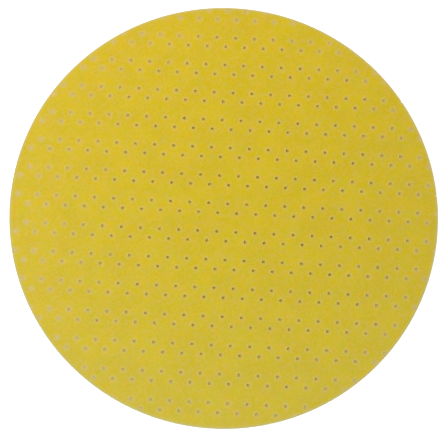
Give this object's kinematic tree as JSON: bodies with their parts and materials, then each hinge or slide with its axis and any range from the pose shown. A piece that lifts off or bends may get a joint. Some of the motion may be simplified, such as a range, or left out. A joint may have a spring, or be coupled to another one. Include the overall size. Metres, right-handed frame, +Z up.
{
  "type": "abrasive disc",
  "caption": "Round perforated sanding disc: yellow grain-coated paper on a loop-pile back, with staggered pairs of rows of small round through-holes.",
  "frame": {"origin": "centre of the disc on the plane of its loop pile's tips, which is its lowest face", "axes": "+Z up out of the grain side; +X is to the right and +Y away from the viewer as the disc lies in the picture, so its rows of holes slope 2.8 degrees down to the right"},
  "size_m": [0.225, 0.225, 0.0013],
  "materials": {
    "abrasive_paper": "matt yellow coat of fine abrasive grain on pale paper, with loop pile on the back"
  },
  "bodies": {
    "root": {"abrasive_disc": "abrasive_paper"}
  },
  "joints": []
}
